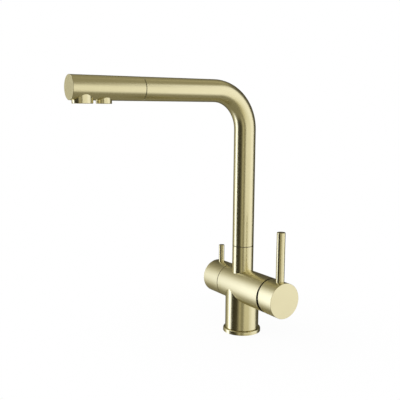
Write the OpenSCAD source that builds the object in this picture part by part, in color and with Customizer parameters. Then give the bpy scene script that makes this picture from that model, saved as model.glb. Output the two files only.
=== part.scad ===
// Kitchen mixer tap with a filtered-water side, a swivel spout and a pull-out head.
// The origin is the centre of the base ring's underside and +Z is up. The spout points
// along -Y, the mixer handle is at +X and the filter handle at -X. Sizes are millimetres.

/* [Base] */
// Diameter of the body's foot, inside the base ring
foot_d = 39; // [38.5:0.5:41]
// Width of the base ring, round the foot
base_ring_w = 5.5; // [5:0.25:8.5]
// Height of the base ring
base_h = 5; // [4:0.5:8]
// Radius of the base ring's rounded top edge
base_round = 1.8; // [0.6:0.2:2.2]
// Height of the foot's underside above the worktop
foot_lift = 1; // [0.5:0.25:2]
// Width of the seal groove in the base ring's underside
base_seal_w = 2; // [1.5:0.25:2.5]
// Depth of the seal groove in the base ring's underside
base_seal_t = 1.6; // [1.2:0.2:2.4]
// Radius of the circle that the ports and studs lie on
port_ring_r = 13; // [12.9:0.1:13.6]
// Bore of a port, before its M10 x 1 thread is cut
port_d = 9; // [8.6:0.1:9.2]
// Depth of a port
port_depth = 12; // [10:1:18]
// Angle between the outlet port and each of the hot and cold ports
port_spread = 50; // [48:1:53]
// Angle of each filter port from the -X direction
filter_port_spread = 38; // [34:1:44]
// Bore of a stud hole, before its M6 thread is cut
stud_d = 5; // [4.8:0.1:5.2]
// Depth of a stud hole
stud_depth = 14; // [10:1:20]

/* [Body] */
// Diameter of the barrel and of both knobs
barrel_d = 44.8; // [44.8:0.2:47]
// How much less the column's radius is than the barrel's
column_inset = 0.1; // [0.05:0.05:0.4]
// Height of the barrel's axis
barrel_z = 62.3; // [58:0.5:75]
// Distance from the column's axis to the barrel's left face
barrel_left = 26.8; // [25.8:0.5:29]
// Distance from the column's axis to the barrel's right face
barrel_right = 59; // [58.8:0.2:63.2]
// Height of the neck above the barrel
neck_len = 31.55; // [30:0.05:45]
// Wall of the neck
neck_wall = 2; // [1.6:0.1:2.2]
// Metal left between the barrel's top and the neck's bore
neck_floor = 1.5; // [1:0.25:3]
// Bore for the hose through the column
hose_bore_d = 14.6; // [14.2:0.2:14.8]
// Bore of a water channel
channel_d = 6; // [5:0.25:6.5]
// Bevel on the turned ends of the column and of the inner pieces
body_bevel = 0.4; // [0.2:0.1:0.6]
// Bevel on the barrel's ends and on the knobs' rear rims
barrel_bevel = 0.2; // [0.1:0.1:0.5]

/* [Mixer cartridge] */
// Diameter of the mixer cartridge
mixer_cart_d = 35; // [34.5:0.25:35.5]
// Thickness of the mixer cartridge's base
mixer_base_t = 4; // [3.5:0.25:4.25]
// Wall of the mixer cartridge's housing
mixer_wall = 1; // [0.8:0.1:1.1]
// Offset of the hot and cold ports across the barrel
mixer_port_y = 8; // [7.6:0.1:8.2]
// Height of the hot and cold ports above the barrel's axis
mixer_port_up = 4; // [3.6:0.1:4.2]
// Depth of the outlet port below the barrel's axis
mixer_port_down = 7; // [6.6:0.1:7.2]
// Diameter of the mixer's ports
mixer_port_d = 5.2; // [4.8:0.1:5.3]
// Diameter of the mixer's fixed disc
mixer_disc_d = 29; // [28:0.25:30]
// Thickness of the mixer's fixed disc
mixer_disc_t = 4; // [3.5:0.25:4.25]
// Diameter of the mixer's moving disc
slide_disc_d = 24.4; // [24:0.1:24.8]
// Thickness of the mixer's moving disc
slide_disc_t = 3.5; // [3:0.25:3.75]
// Diameter of the mixing pocket in the moving disc
pocket_d = 11.6; // [11:0.1:11.8]
// Depth of the mixing pocket
pocket_t = 1.6; // [1:0.1:2]
// Diameter of the disc carrier
carrier_d = 23; // [22:0.25:23.5]
// Thickness of the disc carrier
carrier_t = 6.3; // [6:0.1:6.4]
// Thickness of the housing's end wall
mixer_end_t = 2.8; // [2.4:0.1:3]
// Diameter of the spindle guide's collar
collar_d = 19; // [18.6:0.2:20]
// Length of the spindle guide's collar past the housing's end wall
collar_out = 8; // [6:0.5:8.5]
// Thickness of the cartridge nut
mixer_nut_t = 7; // [5.5:0.5:7]
// Thread diameter of the cartridge nut
mixer_nut_d = 38.8; // [38:0.2:39.2]
// Width across the flats of the cartridge nut's hexagon hole
mixer_nut_af = 26; // [25:0.5:28]
// Length of the cover ring, from the nut to its lip
cover_len = 6; // [4:0.25:6.5]
// Length of the cover ring's straight part
cover_straight = 3; // [2:0.25:3.5]
// Lip diameter of the cover ring
cover_lip_d = 29; // [27:0.5:31]

/* [Mixer handle] */
// Distance from the barrel's right face to the mixer knob's face
mixer_knob_out = 28; // [27:0.1:35.8]
// Gap behind the mixer knob at the top
mixer_gap_top = 1.6; // [1.1:0.1:2.2]
// Gap behind the mixer knob at the bottom, which gives it room to tilt
mixer_gap_bottom = 5.8; // [5.4:0.1:6.4]
// Distance from the barrel's right face back to the tilt axis
tilt_back = 9; // [8.8:0.1:9.4]
// Distance from the mixer's moving disc to the spindle's ball
ball_seat = 6.5; // [6.4:0.1:6.8]
// Distance from the tilt axis to the spindle's ball
ball_arm = 10; // [9.8:0.1:10.1]
// Diameter of the spindle's ball
ball_d = 6; // [5.6:0.1:6.1]
// Diameter of the spindle's neck
spindle_neck_d = 3.8; // [3.4:0.1:3.9]
// Width of the square spindle
spindle_w = 7.9; // [7.5:0.1:8]
// Diameter of the pivot pin
pivot_d = 3; // [2.6:0.1:3.2]
// Wall of both knobs round their hollows
knob_wall = 2.4; // [2:0.1:2.8]
// Thickness left in front of the mixer spindle
mixer_face_t = 6; // [5:0.25:6.5]
// Distance from the mixer knob's face to its lever
mixer_lever_in = 9.7; // [8:0.1:9.7]
// Diameter of the mixer lever
mixer_lever_d = 10.6; // [8:0.2:11]
// Height of the mixer lever above its knob
mixer_lever_len = 62; // [35:0.1:90]
// Bevel on the knobs' faces
knob_bevel = 0.2; // [0.1:0.1:1]
// Bevel on the levers' tops
lever_bevel = 0.4; // [0.2:0.1:1.2]
// Depth of a lever's seat below the top of its knob
lever_seat = 2.5; // [2:0.25:3.5]
// Diameter of a lever's threaded foot
lever_foot_d = 5; // [4:0.25:5.5]
// Length of a lever's threaded foot
lever_foot_len = 8; // [6:0.5:9]
// Diameter of the knobs' grub screws
grub_d = 5; // [4:0.25:5.5]
// Length of the knobs' grub screws
grub_len = 10; // [6:0.5:14]
// Width across the flats of a grub screw's hexagon socket
grub_af = 2.5; // [2:0.25:2.75]

/* [Filter valve] */
// Depth of the filter chamber
filter_depth = 11.8; // [11.6:0.1:12.8]
// Bore of the filter chamber
filter_bore_d = 26; // [25.5:0.25:28]
// Offset of the filter ports across the barrel
filter_port_y = 6.5; // [6.2:0.1:6.8]
// Diameter of the filter valve's ports
filter_port_d = 4.4; // [4:0.1:4.6]
// Thickness of the filter cartridge's base
filter_base_t = 3; // [2.5:0.25:3.25]
// Diameter of the filter discs
filter_disc_d = 19; // [18.4:0.2:19.4]
// Thickness of each filter disc
filter_disc_t = 3; // [2.5:0.25:3.25]
// Width of the passage across the moving filter disc
passage_w = 4.4; // [4:0.1:4.8]
// Depth of the passage across the moving filter disc
passage_t = 1.5; // [1:0.1:1.8]
// Outer diameter of the filter cartridge's housing
filter_cart_d = 22.8; // [22.4:0.1:23]
// Thickness of the housing's flange
filter_flange_t = 2; // [1.5:0.25:2.5]
// Thickness of the housing's end wall
filter_end_t = 3.7; // [3.4:0.1:5]
// Diameter of the filter valve's stem
stem_d = 10; // [9:0.25:10.5]
// Width across the stem's flats in the knob
stem_w = 8; // [7:0.25:8]
// Section of the stem seal
stem_seal_t = 1.4; // [1.2:0.1:1.8]
// Width across the flats of the filter cartridge's nut
filter_nut_af = 27; // [27:0.5:29]
// Thickness of the nut's hexagon
filter_nut_t = 5; // [4:0.5:6]

/* [Filter handle] */
// Distance from the barrel's left face to the filter knob's face
filter_knob_out = 33.5; // [31:0.1:43]
// Gap behind the filter knob
filter_gap = 0.9; // [0.4:0.1:1.2]
// Thickness left in front of the filter stem
filter_face_t = 6; // [5:0.25:6.5]
// Distance from the filter knob's face to its lever
filter_lever_in = 10.8; // [8:0.1:11]
// Diameter of the filter lever
filter_lever_d = 7.6; // [7:0.2:9]
// Height of the filter lever above its knob
filter_lever_len = 23.2; // [15:0.1:45]

/* [Spout] */
// Diameter of the spout tube, the neck and the pull-out head
spout_d = 28; // [27.8:0.1:29]
// Wall of the spout tube
spout_wall = 1.2; // [1:0.1:1.3]
// Height of the spout's level axis
spout_z = 317.5; // [280:1:380]
// Radius of the spout's bend
bend_r = 49; // [40:1:60]
// Distance from the column's axis to the seam of the pull-out head
head_seam = 150; // [148:1:165]
// Gap at the spout's swivel seam
swivel_gap = 0.4; // [0.4:0.05:0.8]
// Gap at the pull-out head's seam
head_gap = 0.6; // [0.5:0.1:1.5]
// Bevel on both sides of the head's seam
seam_bevel = 0.2; // [0.1:0.1:0.8]
// Bevel on both sides of the swivel seam
swivel_bevel = 0.2; // [0.1:0.1:0.5]
// Length of the swivel spigot inside the spout tube
spigot_in_tube = 30; // [20:1:40]
// Height of each slide ring
slide_ring_h = 4; // [3:0.25:5]
// Section of the friction ring
friction_ring_t = 1.5; // [1.3:0.1:1.5]
// Diameter of the retaining screw
retainer_d = 5; // [4:0.25:5]
// Diameter of the retaining screw's tip
retainer_tip_d = 3; // [2.5:0.25:3.25]
// Depth of the retaining screw below the neck's top face
retainer_drop = 14; // [13.5:0.25:15]
// Length of the docking collar
dock_len = 21; // [19:0.5:26]
// Bore of the docking collar
dock_bore_d = 19.2; // [18.8:0.2:20]

/* [Hose] */
// Outer diameter of the hose
hose_d = 13; // [12.4:0.1:13.2]
// Bore of the hose
hose_in_d = 10; // [9.8:0.1:10.2]
// Outer diameter of the filtered-water tube in the hose
tube_d = 6; // [5.6:0.1:6.2]
// Bore of the filtered-water tube
tube_in_d = 4; // [3.5:0.1:4.2]
// Outer diameter of the crimp sleeve
crimp_d = 15.2; // [14.8:0.1:15.3]
// Length of the crimp sleeve
crimp_len = 13; // [10:0.5:14]

/* [Pull-out head] */
// Length of the pull-out head
head_len = 88; // [86:0.5:110]
// Wall of the pull-out head
head_wall = 1.4; // [1.2:0.1:1.5]
// Thickness of the head's end
head_end_t = 3; // [2:0.5:4]
// Bevel on the head's end
head_bevel = 0.2; // [0.1:0.1:1]
// Distance from the head's end back to the main outlet's axis
main_outlet_in = 15.5; // [15:0.1:19]
// Diameter of the main outlet's boss
main_boss_d = 23.6; // [23:0.2:24.4]
// Distance from the head's end back to the filtered-water outlet's axis
filter_outlet_in = 41; // [39:0.1:43]
// Diameter of the filtered-water outlet's boss
filter_boss_d = 18; // [17.4:0.2:19]
// How far the outlets' bosses reach below the head
boss_drop = 3.5; // [2:0.25:6]
// Wall of the bosses
boss_wall = 1.4; // [1.2:0.1:1.6]
// Length of the head's spigot in the docking collar
dock_spigot_len = 17; // [14:0.5:18]
// Outer diameter of the head's spigot
dock_spigot_d = 19; // [18.6:0.1:19]
// Depth of the nipple's socket in the head's core
socket_len = 21; // [20:0.5:23]
// Diameter of the nipple's socket
socket_d = 14; // [13.6:0.1:14.2]
// Height of the mixed-water channel above the head's axis
core_channel_up = 7.4; // [7.3:0.1:7.8]
// Height of an outlet's housing
outlet_h = 9; // [8:0.25:9.5]
// Thickness of an outlet's washer
outlet_washer_t = 1.5; // [1:0.25:2]
// Wall of an outlet's housing
outlet_wall = 1.2; // [1:0.1:1.4]
// Depth of each outlet's housing inside its boss
outlet_recess = 0.5; // [0.3:0.1:1]
// Depth of each outlet's insert inside its housing
insert_recess = 0.8; // [0.4:0.1:1.2]
// Thickness of each outlet insert's grid
grid_t = 2; // [1.5:0.25:3]
// Spacing of the main outlet's grid
main_pitch = 2.5; // [2.3:0.1:2.6]
// Spacing of the filtered-water outlet's grid
filter_pitch = 2.6; // [2.2:0.1:2.7]
// Width of the bars in the outlets' grids
grid_bar = 0.5; // [0.4:0.1:0.8]

/* [Hidden] */
$fn = 96;

// How far a cutting shape runs past the face that it cuts
over = 1;
// Radial play of a piece that slides into its seat
seat_play = 0.1;
// Radial play of a turning or sliding fit
run_play = 0.05;
// Least distance between pieces that move past each other
clear = 0.3;
// Section of the seal rings at the ports and in the head
seal_t = 1.2;
// Width of the seal rings at the ports
seal_w = 1.3;

foot_r = foot_d / 2;
base_r = foot_r + base_ring_w;
barrel_r = barrel_d / 2;
column_r = barrel_r - column_inset;
spout_r = spout_d / 2;
hose_r = hose_d / 2;
tube_r = tube_d / 2;
channel_r = channel_d / 2;
base_seal_r = (foot_r + base_r) / 2;
barrel_top = barrel_z + barrel_r;
neck_top = barrel_top + neck_len;

// Neck and swivel
// Gap round the swivel spigot, which its slide rings bridge
spigot_play = 0.4;
// Depth of the slide rings' grooves, and the metal beside the lower and the upper one
slide_groove_t = 1.2;
slide_land_low = 1.5;
slide_land_top = 1.8;
// Distance from the lower slide ring to the friction ring's middle
friction_land = 2.5;
// Depth of the groove for the retaining screw's tip, and the tip's play in it
retainer_groove_t = 1.4;
retainer_play = 0.5;
// Gap between the retaining screw's thick part and the neck's bore
retainer_shank_gap = 0.2;
// Depth of the retaining screw below the neck's surface, and the metal under its socket
retainer_sink = 0.3;
hose_guide_t = 2.5;
neck_bore_r = spout_r - neck_wall;
neck_bore_z = barrel_top + neck_floor;
tube_bottom = neck_top + swivel_gap;
spigot_z = neck_bore_z + hose_guide_t + clear;
spigot_r = neck_bore_r - spigot_play;
spigot_bore_r = hose_r + clear;
spout_in_r = spout_r - spout_wall;
slide_ring_r = neck_bore_r - run_play;
slide_groove_r = spigot_r - slide_groove_t;
slide_ring_z = [spigot_z + slide_land_low, neck_top - slide_land_top - slide_ring_h];
friction_ring_z = slide_ring_z[0] + slide_ring_h + friction_land;
friction_ring_r = slide_ring_r - friction_ring_t / 2;
retainer_z = neck_top - retainer_drop;
retainer_groove_r = spigot_r - retainer_groove_t;
riser_top = spout_z - bend_r;
// How far the rings inside a bent pipe's wall reach to either side of the bend's ends
bend_lap = 0.5;

// Mixer cartridge, as distances from the column's axis along the barrel. The stack of its
// base, discs and carrier is set back from the tilt axis.
// Gap between the disc carrier and the spindle guide
guide_gap = 0.4;
// Distance from the tilt axis back to the end of the guide's flange
guide_flange_back = 3;
// Distance from the tilt axis back to the start of the spindle's square
square_back = 5;
// Play of the spindle in the guide's slot, on each side
slot_play = 0.15;
// Lengths of the guide's slots for the tilting spindle and for the carrier's block
tilt_slot = 14;
block_slot = 17;
// Length and height of the carrier's block, and its room in the guide above it
block_len = 9;
block_t = 2.6;
block_room = 1;
// Material under the ball's seat in the carrier
carrier_floor = 2;
// How far the mixing pocket reaches past the outlet port's centre
pocket_reach = 3.7;
// Depth of the thread's run-out behind the cartridge nut
nut_runout = 1;
// Play between a stem's end and its bore in the knob
end_play = 0.5;
// Metal between a lever's seat and its knob's hollow
lever_land = 0.5;
mixer_cart_r = mixer_cart_d / 2;
mixer_housing_in_r = mixer_cart_r - mixer_wall;
tilt_x = barrel_right - tilt_back;
ball_x = tilt_x - ball_arm;
carrier_x = ball_x - ball_seat;
slide_disc_x = carrier_x - slide_disc_t;
mixer_disc_x = slide_disc_x - mixer_disc_t;
mixer_seat = mixer_disc_x - mixer_base_t;
guide_x = carrier_x + carrier_t + guide_gap;
guide_flange_end = tilt_x - guide_flange_back;
mixer_end_x = guide_flange_end + clear;
mixer_housing_end = mixer_end_x + mixer_end_t;
collar_end = mixer_housing_end + collar_out;
mixer_nut_x = mixer_housing_end;
mixer_nut_end = mixer_nut_x + mixer_nut_t;
collar_r = collar_d / 2;
square_start = tilt_x - square_back;
slot_w = spindle_w + 2 * slot_play;
block_w = slot_w - 2 * seat_play;
mixer_end = barrel_right + mixer_knob_out;
spindle_end = mixer_end - mixer_face_t - end_play;
mixer_lever_x = mixer_end - mixer_lever_in;
mixer_hollow_end = mixer_lever_x - mixer_lever_d / 2 - lever_land;
knob_in_r = barrel_r - knob_wall;
rim_slope = atan((mixer_gap_bottom - mixer_gap_top) / barrel_d);

// Filter cartridge, as distances from the column's axis along the barrel
// How much smaller the fixed disc's ports are than the base's, all round
disc_port_lip = 0.2;
stem_flange_t = 3;
// Distance from the knob's solid end back to the start of the stem's flats
flats_back = 2;
filter_seat = barrel_left - filter_depth;
filter_disc_x = filter_seat + filter_base_t;
filter_slide_x = filter_disc_x + filter_disc_t;
stem_flange_x = filter_slide_x + filter_disc_t;
stem_flange_end = stem_flange_x + stem_flange_t;
filter_end_x = stem_flange_end + clear;
filter_housing_end = filter_end_x + filter_end_t;
stem_seal_x = filter_end_x + (filter_end_t - stem_seal_t) / 2;
filter_bore_r = filter_bore_d / 2;
filter_cart_r = filter_cart_d / 2;
filter_flange_r = filter_bore_r - seat_play;
filter_disc_r = filter_disc_d / 2;
disc_port_r = filter_port_d / 2 - disc_port_lip;
filter_nut_x = filter_disc_x + filter_flange_t;
filter_knob_x = barrel_left + filter_gap;
filter_nut_end = filter_knob_x + filter_nut_t;
filter_end = barrel_left + filter_knob_out;
stem_r = stem_d / 2;
stem_end = filter_end - filter_face_t - end_play;
filter_lever_x = filter_end - filter_lever_in;
filter_hollow_end = filter_lever_x - filter_lever_d / 2 - lever_land;

// Pull-out head, as distances from the column's axis along the spout
// Depth of the docking collar behind the tube's mouth
dock_recess = 0.4;
// Gap between the core and the inside of the head's end
core_gap = 0.2;
// Distances from the seam back to the crimp sleeve, and from its end to the nipple's end
crimp_back = 3;
barb_in = 1.5;
// How far the filtered-water tube reaches into the core past the nipple's socket
tube_in = 13;
tube_seal_t = 2;
// The nipple's wall, its gap to the end of its socket, and its seal's place and width
nipple_wall = 0.8;
nipple_gap = 1;
nipple_seal_back = 5;
nipple_seal_w = 2;
// How far the mixed-water channel opens into the nipple's socket
channel_lap = 4;
// Width of the outlets' washers
washer_w = 4;
// The hose's fixed stretch ends this far past the bend, a small gap before the moving one
split_past = 2;
split_gap = 0.4;
dock_mouth = head_seam - head_gap / 2;
head_start = head_seam + head_gap / 2;
head_end = head_seam + head_len;
main_reach = head_end - main_outlet_in;
filter_reach = head_end - filter_outlet_in;
head_in_r = spout_r - head_wall;
core_r = head_in_r - seat_play;
core_start = head_start + dock_recess;
core_end = head_end - head_end_t - core_gap;
dock_spigot_start = dock_mouth - dock_spigot_len;
socket_end = head_start + socket_len;
nipple_seal_x = socket_end - nipple_seal_back;
crimp_end = head_start - crimp_back;
crimp_start = crimp_end - crimp_len;
barb_start = crimp_start + barb_in;
tube_end = socket_end + tube_in;
hose_split = bend_r + split_past;
head_hose_start = hose_split + split_gap;
boss_bottom = spout_z - spout_r - boss_drop;
outlet_bottom = boss_bottom + outlet_recess;
outlet_top = outlet_bottom + outlet_h;
outlet_seat = outlet_top + outlet_washer_t;
main_bore_r = main_boss_d / 2 - boss_wall;
filter_bore_out_r = filter_boss_d / 2 - boss_wall;

port_angles = [-port_spread, 0, port_spread, 180 - filter_port_spread, 180 + filter_port_spread];
mixer_ports = [
  [mixer_port_up, mixer_port_y], [mixer_port_up, -mixer_port_y], [-mixer_port_down, 0]
];
filter_ports = [[0, filter_port_y], [0, -filter_port_y]];

gold = [0.80, 0.73, 0.50];
raw_brass = [0.72, 0.60, 0.33];
ceramic = [0.93, 0.92, 0.89];
white_plastic = [0.90, 0.90, 0.87];
grey_plastic = [0.45, 0.46, 0.47];
dark_rubber = [0.12, 0.12, 0.12];
steel = [0.70, 0.71, 0.72];
braid = [0.55, 0.56, 0.58];
black_plastic = [0.06, 0.06, 0.06];

// A round bar along Z, with a bevel at either end
module bar(z0, z1, r, bevel0 = 0, bevel1 = 0) {
  low = bevel0 > 0 ? [[r - bevel0, z0], [r, z0 + bevel0]] : [[r, z0]];
  high = bevel1 > 0 ? [[r, z1 - bevel1], [r - bevel1, z1]] : [[r, z1]];
  rotate_extrude()
    polygon(concat([[0, z0]], low, high, [[0, z1]]));
}

// A round ring along Z, with a bevel at either end
module ring(z0, z1, outer, inner, bevel0 = 0, bevel1 = 0) {
  difference() {
    bar(z0, z1, outer, bevel0, bevel1);
    bar(z0 - over, z1 + over, inner);
  }
}

// Places a piece drawn along Z on the barrel's axis: its Z runs outward to the given side,
// its X points up and its Y stays
module on_barrel(side) {
  translate([0, 0, barrel_z])
    if (side > 0)
      mirror([1, 0, 0]) rotate([0, -90, 0]) children();
    else
      rotate([0, -90, 0]) children();
}

// Places a piece drawn along Z on the spout's level axis: its Z runs to the spout's end and
// its Y points up
module on_spout() {
  translate([0, 0, spout_z]) rotate([90, 0, 0]) children();
}

// A pipe that follows the spout's axis, from a height in the riser to a reach past the bend.
// Short rings inside its wall lap both ends of the bend and bind the stretches into one.
module spout_pipe(z0, reach, outer, inner, bevel0 = 0, bevel1 = 0) {
  skin = (outer - inner) / 4;
  ring(z0, riser_top, outer, inner, bevel0);
  translate([0, -bend_r, riser_top])
    rotate([90, 0, 90])
      rotate_extrude(angle = 90)
        translate([bend_r, 0])
          difference() {
            circle(r = outer);
            circle(r = inner);
          }
  on_spout() ring(bend_r, reach, outer, inner, 0, bevel1);
  ring(riser_top - bend_lap, riser_top + bend_lap, outer - skin, inner + skin);
  on_spout() ring(bend_r - bend_lap, bend_r + bend_lap, outer - skin, inner + skin);
}

// Copies of a child on a triangular grid, in rings round the middle
module grid(pitch, rings) {
  for (q = [-rings:rings])
    for (s = [max(-rings, -q - rings):min(rings, -q + rings)])
      translate([pitch * (q + s / 2), pitch * s * sqrt(3) / 2, 0])
        children();
}

// Base

module tap_body() {
  color(gold)
    difference() {
      union() {
        bar(foot_lift, base_h + over, foot_r);
        bar(base_h, barrel_z, column_r, body_bevel);
        on_barrel(1) bar(-barrel_left, barrel_right, barrel_r, barrel_bevel, barrel_bevel);
        bar(barrel_z, neck_top, spout_r, 0, swivel_bevel);
      }
      bar(0, neck_top, hose_bore_d / 2);
      bar(neck_bore_z, neck_top + over, neck_bore_r);
      retainer_hole();
      body_ports();
      mixer_chamber();
      filter_chamber();
    }
}

module retainer_hole() {
  translate([0, 0, retainer_z])
    rotate([-90, 0, 0])
      cylinder(h = spout_r + over, r = retainer_d / 2);
}

// The threaded ports and stud holes in the foot, and the channels above the ports
module body_ports() {
  tops = [
    barrel_z + mixer_port_up, barrel_z - mixer_port_down, barrel_z + mixer_port_up,
    barrel_z, barrel_z
  ];
  for (i = [0:len(port_angles) - 1])
    rotate(port_angles[i])
      translate([port_ring_r, 0, 0]) {
        bar(0, foot_lift + port_depth, port_d / 2);
        bar(0, tops[i], channel_r);
      }
  for (a = [90, 270])
    rotate(a)
      translate([port_ring_r, 0, 0])
        bar(0, foot_lift + stud_depth, stud_d / 2);
}

module mixer_chamber() {
  hot_x = port_ring_r * cos(port_spread);
  floors = [hot_x, hot_x, port_ring_r];
  on_barrel(1) {
    bar(mixer_seat, barrel_right + over, mixer_cart_r + seat_play);
    bar(mixer_nut_x - nut_runout, barrel_right + over, mixer_nut_d / 2 + seat_play);
    for (i = [0:2])
      translate([mixer_ports[i][0], mixer_ports[i][1], 0])
        bar(floors[i], mixer_seat + over, channel_r);
  }
}

module filter_chamber() {
  port_x = port_ring_r * cos(filter_port_spread);
  on_barrel(-1) {
    bar(filter_seat, barrel_left + over, filter_bore_r);
    for (p = filter_ports)
      translate([p[0], p[1], 0])
        bar(port_x, filter_seat + over, filter_port_d / 2);
  }
}

module base_ring() {
  color(gold)
    difference() {
      rotate_extrude()
        difference() {
          union() {
            square([base_r - base_round, base_h]);
            square([base_r, base_h - base_round]);
            translate([base_r - base_round, base_h - base_round])
              circle(r = base_round);
          }
          translate([-base_r, -over])
            square([base_r + foot_r, base_h + 2 * over]);
        }
      ring(-over, base_seal_t, base_seal_r + base_seal_w / 2, base_seal_r - base_seal_w / 2);
    }
}

module base_seal() {
  color(dark_rubber)
    ring(0, base_seal_t, base_seal_r + base_seal_w / 2, base_seal_r - base_seal_w / 2);
}

module hose_guide() {
  color(white_plastic)
    ring(neck_bore_z, neck_bore_z + hose_guide_t, neck_bore_r, hose_r + clear);
}

// Mixer cartridge

// Seal rings between a chamber's floor and its cartridge's base, one at each port
module port_seals(x, ports, port_r, grow = 0) {
  for (p = ports)
    translate([p[0], p[1], 0])
      ring(x - grow, x + seal_t, port_r + seal_w, port_r);
}

module mixer_seals() {
  color(dark_rubber)
    on_barrel(1) port_seals(mixer_seat, mixer_ports, channel_r);
}

module mixer_cartridge_base() {
  color(white_plastic)
    on_barrel(1)
      difference() {
        bar(mixer_seat, mixer_disc_x, mixer_cart_r);
        port_seals(mixer_seat, mixer_ports, channel_r, over);
        for (p = mixer_ports)
          translate([p[0], p[1], 0])
            bar(mixer_seat - over, mixer_disc_x + over, mixer_port_d / 2);
      }
}

module mixer_fixed_disc() {
  color(ceramic)
    on_barrel(1)
      difference() {
        bar(mixer_disc_x, slide_disc_x, mixer_disc_d / 2);
        for (p = mixer_ports)
          translate([p[0], p[1], 0])
            bar(mixer_disc_x - over, slide_disc_x + over, mixer_port_d / 2);
      }
}

module mixer_cartridge_housing() {
  color(grey_plastic)
    on_barrel(1)
      difference() {
        bar(mixer_disc_x, mixer_housing_end, mixer_cart_r);
        bar(mixer_disc_x - over, mixer_end_x, mixer_housing_in_r);
        bar(mixer_disc_x, mixer_housing_end + over, collar_r + run_play);
      }
}

module mixer_cartridge_nut() {
  color(raw_brass)
    on_barrel(1)
      difference() {
        bar(mixer_nut_x, mixer_nut_end, mixer_nut_d / 2, 0, body_bevel);
        translate([0, 0, mixer_nut_x - over])
          cylinder(h = mixer_nut_t + 2 * over, d = mixer_nut_af / cos(30), $fn = 6);
      }
}

// A thin ring whose outside tapers to a lip, and which hides the cartridge nut
module mixer_cover_ring() {
  cover_wall = 1.2;
  cover_r = mixer_nut_d / 2;
  lip_r = cover_lip_d / 2;
  x0 = mixer_nut_end;
  x1 = x0 + cover_straight;
  x2 = x0 + cover_len;
  color(black_plastic)
    on_barrel(1)
      rotate_extrude()
        polygon([
          [cover_r - cover_wall, x0], [cover_r, x0], [cover_r, x1], [lip_r, x2],
          [lip_r - cover_wall, x2], [cover_r - cover_wall, x1]
        ]);
}

module spindle_guide() {
  color(white_plastic)
    on_barrel(1)
      difference() {
        union() {
          bar(guide_x, guide_flange_end, mixer_housing_in_r - clear);
          bar(guide_x, collar_end, collar_r);
        }
        translate([-block_slot / 2, -slot_w / 2, guide_x - over])
          cube([block_slot, slot_w, block_t + block_room + over]);
        translate([-tilt_slot / 2, -slot_w / 2, guide_x])
          cube([tilt_slot, slot_w, collar_end - guide_x + over]);
        pivot(pivot_d / 2, collar_d);
      }
}

// The tilt axis, a cylinder across the barrel
module pivot(r, len) {
  translate([0, 0, tilt_x])
    rotate([90, 0, 0])
      cylinder(h = len, r = r, center = true);
}

module spindle_pivot_pin() {
  color(steel)
    on_barrel(1)
      intersection() {
        pivot(pivot_d / 2, collar_d);
        bar(guide_x, collar_end, collar_r - clear);
      }
}

module mixer_disc_carrier() {
  color(white_plastic)
    on_barrel(1)
      difference() {
        union() {
          bar(carrier_x, carrier_x + carrier_t, carrier_d / 2);
          translate([-block_len / 2, -block_w / 2, carrier_x])
            cube([block_len, block_w, carrier_t + block_t]);
        }
        bar(carrier_x + carrier_floor, carrier_x + carrier_t + block_t + over, ball_d / 2 + 3 * run_play);
      }
}

module mixer_moving_disc() {
  color(ceramic)
    on_barrel(1)
      difference() {
        bar(slide_disc_x, carrier_x, slide_disc_d / 2);
        translate([-mixer_port_down + pocket_d / 2 - pocket_reach, 0, 0])
          bar(slide_disc_x - over, slide_disc_x + pocket_t, pocket_d / 2);
      }
}

module mixer_spindle() {
  color(steel)
    on_barrel(1)
      difference() {
        union() {
          translate([0, 0, ball_x]) sphere(r = ball_d / 2);
          bar(ball_x, square_start + over, spindle_neck_d / 2);
          translate([-spindle_w / 2, -spindle_w / 2, square_start])
            cube([spindle_w, spindle_w, spindle_end - square_start]);
        }
        pivot(pivot_d / 2 + run_play, collar_d);
      }
}

// Handles

// The solid of a knob between its rear rim and its face, with its hollow, lever seat and
// screw hole, all drawn along the barrel
module knob_blank(rim, hollow_end, end, lever_x, lever_d) {
  difference() {
    bar(rim, end, barrel_r, barrel_bevel, knob_bevel);
    bar(rim - over, hollow_end, knob_in_r);
    translate([barrel_r - lever_seat, 0, lever_x])
      rotate([0, 90, 0])
        cylinder(h = lever_seat + over, r = lever_d / 2 + seat_play);
    translate([barrel_r - lever_seat - lever_foot_len, 0, lever_x])
      rotate([0, 90, 0])
        cylinder(h = lever_foot_len + over, r = lever_foot_d / 2);
    translate([-barrel_r - over, 0, lever_x])
      rotate([0, 90, 0])
        cylinder(h = barrel_r + over, r = grub_d / 2);
  }
}

// A pin lever with a threaded foot, which stands up the given length above its knob
module lever(x, d, len) {
  seat = barrel_top - lever_seat;
  translate([x, 0, 0]) {
    bar(seat, barrel_top + len, d / 2, 0, lever_bevel);
    bar(seat - lever_foot_len, seat + over, lever_foot_d / 2);
  }
}

// A grub screw that presses up against a stem of the given half-width
module grub_screw(x, stem_half) {
  top = barrel_z - stem_half;
  translate([x, 0, 0])
    difference() {
      bar(top - grub_len, top, grub_d / 2);
      translate([0, 0, top - grub_len - over])
        cylinder(h = grub_len / 2 + over, d = grub_af / cos(30), $fn = 6);
    }
}

// The rear rim of the mixer knob is cut at a slant, so the gap widens towards the bottom
module mixer_knob() {
  rim = barrel_right + mixer_gap_top;
  bore_w = spindle_w + 2 * run_play;
  color(gold)
    on_barrel(1)
      difference() {
        knob_blank(rim, mixer_hollow_end, mixer_end, mixer_lever_x, mixer_lever_d);
        translate([barrel_r, 0, rim])
          rotate([0, rim_slope, 0])
            translate([-2 * barrel_d, -barrel_d, -barrel_d])
              cube([3 * barrel_d, 2 * barrel_d, barrel_d]);
        translate([-bore_w / 2, -bore_w / 2, mixer_hollow_end - over])
          cube([bore_w, bore_w, spindle_end + end_play - mixer_hollow_end + over]);
      }
}

module mixer_lever() {
  color(gold) lever(mixer_lever_x, mixer_lever_d, mixer_lever_len);
}

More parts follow.
